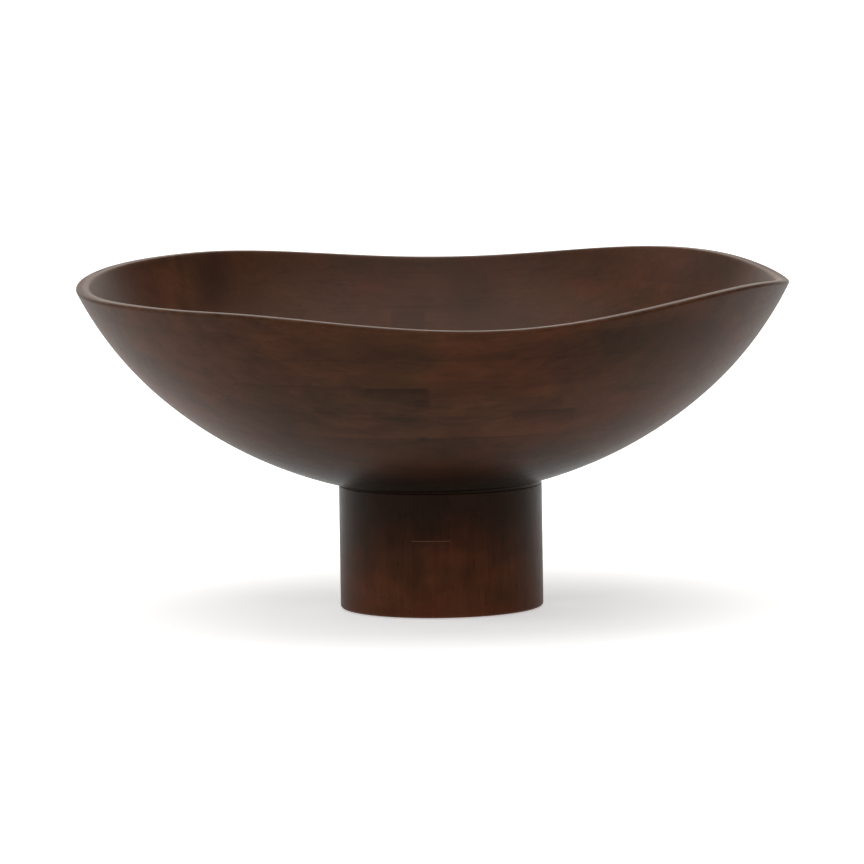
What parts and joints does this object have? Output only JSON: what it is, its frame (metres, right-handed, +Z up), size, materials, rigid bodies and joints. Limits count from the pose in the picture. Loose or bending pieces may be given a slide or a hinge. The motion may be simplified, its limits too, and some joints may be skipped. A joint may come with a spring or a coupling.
{
  "type": "footed wooden bowl",
  "caption": "Wide shallow wooden bowl with a softly waved rim, glued up from boards and turned, on a plain round foot.",
  "frame": {"origin": "on the surface that the bowl stands on, under the middle of the bowl", "axes": "+Z is up, out of the bowl's mouth; +X is towards the bowl's right; -Y is the front, where the rim dips lowest"},
  "size_m": [0.3556, 0.3501, 0.1699],
  "materials": {
    "bowl_wood": "dark red-brown stain under satin lacquer",
    "foot_wood": "dark red-brown stain under satin lacquer, grain upright",
    "dowel_wood": "plain unstained hardwood",
    "felt": "pressed wool felt, matt"
  },
  "bodies": {
    "root": {"base_back": "bowl_wood", "base_front": "bowl_wood", "base_middle": "bowl_wood", "dowel": "dowel_wood", "felt_disc": "felt", "foot_board1": "foot_wood", "foot_board2": "foot_wood", "foot_board3_lower": "foot_wood", "foot_board3_upper": "foot_wood", "foot_board4": "foot_wood", "foot_board5": "foot_wood", "foot_board6": "foot_wood", "rim_back": "bowl_wood", "rim_back_inner_left": "bowl_wood", "rim_back_inner_right": "bowl_wood", "rim_front_inner_left": "bowl_wood", "rim_front_inner_right": "bowl_wood", "rim_front_left": "bowl_wood", "rim_front_right": "bowl_wood", "rim_middle_left": "bowl_wood", "rim_middle_right": "bowl_wood", "wall1_back": "bowl_wood", "wall1_back_inner_left": "bowl_wood", "wall1_back_inner_right": "bowl_wood", "wall1_front": "bowl_wood", "wall1_front_inner_left": "bowl_wood", "wall1_front_inner_right": "bowl_wood", "wall2_back": "bowl_wood", "wall2_front": "bowl_wood", "wall2_middle_left": "bowl_wood", "wall2_middle_right": "bowl_wood", "wall3_back": "bowl_wood", "wall3_back_inner_left": "bowl_wood", "wall3_back_inner_right": "bowl_wood", "wall3_front_inner_left": "bowl_wood", "wall3_front_inner_right": "bowl_wood", "wall3_front_left": "bowl_wood", "wall3_front_right": "bowl_wood", "wall4_back": "bowl_wood", "wall4_back_inner_left": "bowl_wood", "wall4_back_inner_right": "bowl_wood", "wall4_front": "bowl_wood", "wall4_front_inner_left": "bowl_wood", "wall4_front_inner_right": "bowl_wood", "wall4_middle_left": "bowl_wood", "wall4_middle_right": "bowl_wood", "wall5_back": "bowl_wood", "wall5_back_inner_left": "bowl_wood", "wall5_back_inner_right": "bowl_wood", "wall5_front": "bowl_wood", "wall5_front_inner_left": "bowl_wood", "wall5_front_inner_right": "bowl_wood"}
  },
  "joints": []
}
